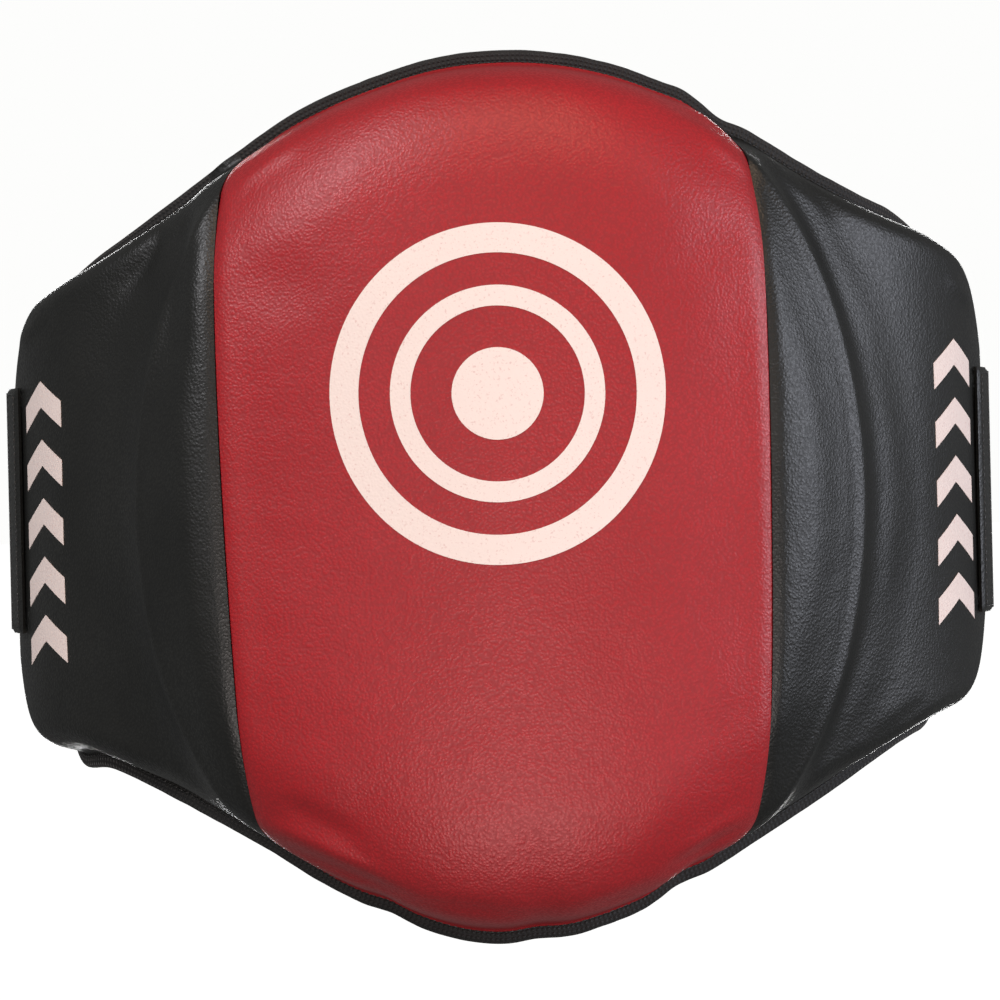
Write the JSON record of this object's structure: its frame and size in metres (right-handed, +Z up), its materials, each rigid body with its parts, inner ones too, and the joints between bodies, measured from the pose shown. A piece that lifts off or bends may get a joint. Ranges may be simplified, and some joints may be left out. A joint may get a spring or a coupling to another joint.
{
  "type": "trainer belly pad",
  "caption": "Thick curved striking pad worn on the belly, with a red centre, black wings, bound edges and a hook-and-loop waist belt.",
  "frame": {"origin": "the middle of the lining, where the pad meets the wearer's belly, half way up", "axes": "+Z up, +X to the right of someone facing the striking face, +Y backwards from the striking face towards the wearer"},
  "size_m": [0.4684, 0.3486, 0.402],
  "materials": {
    "red_cover": "red synthetic leather, fine pebble grain, satin",
    "black_cover": "black synthetic leather, fine pebble grain, satin",
    "print_ink": "white screen print",
    "binding_tape": "black woven edge tape",
    "lining": "black woven nylon",
    "webbing": "black polyester webbing",
    "elastic": "black ribbed elastic",
    "loop_pile": "black brushed loop pile",
    "hook_tape": "black moulded hooks",
    "strike_foam": "firm closed-cell foam",
    "core_foam": "medium closed-cell foam",
    "comfort_foam": "soft open-cell foam"
  },
  "bodies": {
    "pad": {"front_centre_panel": "red_cover", "front_left_shoulder": "black_cover", "front_right_shoulder": "black_cover", "strike_target_print": "print_ink", "strike_foam": "strike_foam", "core_foam": "core_foam", "comfort_foam": "comfort_foam", "back_lining": "lining", "binding_top": "binding_tape", "binding_bottom": "binding_tape"},
    "left_wing": {"left_wing_cover": "black_cover", "left_wing_foam": "comfort_foam", "left_wing_lining": "lining", "left_wing_binding": "binding_tape", "left_wing_print": "print_ink", "left_belt_root": "black_cover"},
    "right_wing": {"right_wing_cover": "black_cover", "right_wing_foam": "comfort_foam", "right_wing_lining": "lining", "right_wing_binding": "binding_tape", "right_wing_print": "print_ink", "right_belt_root": "black_cover"},
    "left_belt": {"left_elastic": "elastic", "left_belt_outer": "black_cover", "left_belt_webbing": "webbing", "left_belt_lining": "lining", "left_belt_binding": "binding_tape", "loop_patch": "loop_pile"},
    "right_belt": {"right_elastic": "elastic", "right_belt_outer": "black_cover", "right_belt_webbing": "webbing", "right_belt_lining": "lining", "right_belt_binding": "binding_tape"},
    "hook_flap": {"flap_outer": "black_cover", "flap_webbing": "webbing", "flap_lining": "lining", "flap_binding": "binding_tape", "hook_patch": "hook_tape", "pull_tab": "webbing"}
  },
  "joints": [
    {"name": "left_wing_flex", "type": "hinge", "parent": "pad", "child": "left_wing", "pos_m": [-0.19139, 0.03617, 0], "axis": [0, 0, 1], "range_deg": [0, 25]},
    {"name": "right_wing_flex", "type": "hinge", "parent": "pad", "child": "right_wing", "pos_m": [0.19139, 0.03617, 0], "axis": [0, 0, -1], "range_deg": [0, 25]},
    {"name": "left_belt_swing", "type": "hinge", "parent": "left_wing", "child": "left_belt", "pos_m": [-0.23287, 0.10434, 0], "axis": [0, 0, 1], "range_deg": [0, 75]},
    {"name": "right_belt_swing", "type": "hinge", "parent": "right_wing", "child": "right_belt", "pos_m": [0.23287, 0.10434, 0], "axis": [0, 0, -1], "range_deg": [0, 75]},
    {"name": "hook_flap_peel", "type": "hinge", "parent": "right_belt", "child": "hook_flap", "pos_m": [0.01215, 0.27608, 0], "axis": [0, 0, -1], "range_deg": [0, 90]}
  ],
  "couplings": [
    {"joint": "left_belt_swing", "follows": "right_belt_swing", "ratio": 1},
    {"joint": "right_wing_flex", "follows": "right_belt_swing", "ratio": 0.33333},
    {"joint": "left_wing_flex", "follows": "right_belt_swing", "ratio": 0.33333}
  ]
}
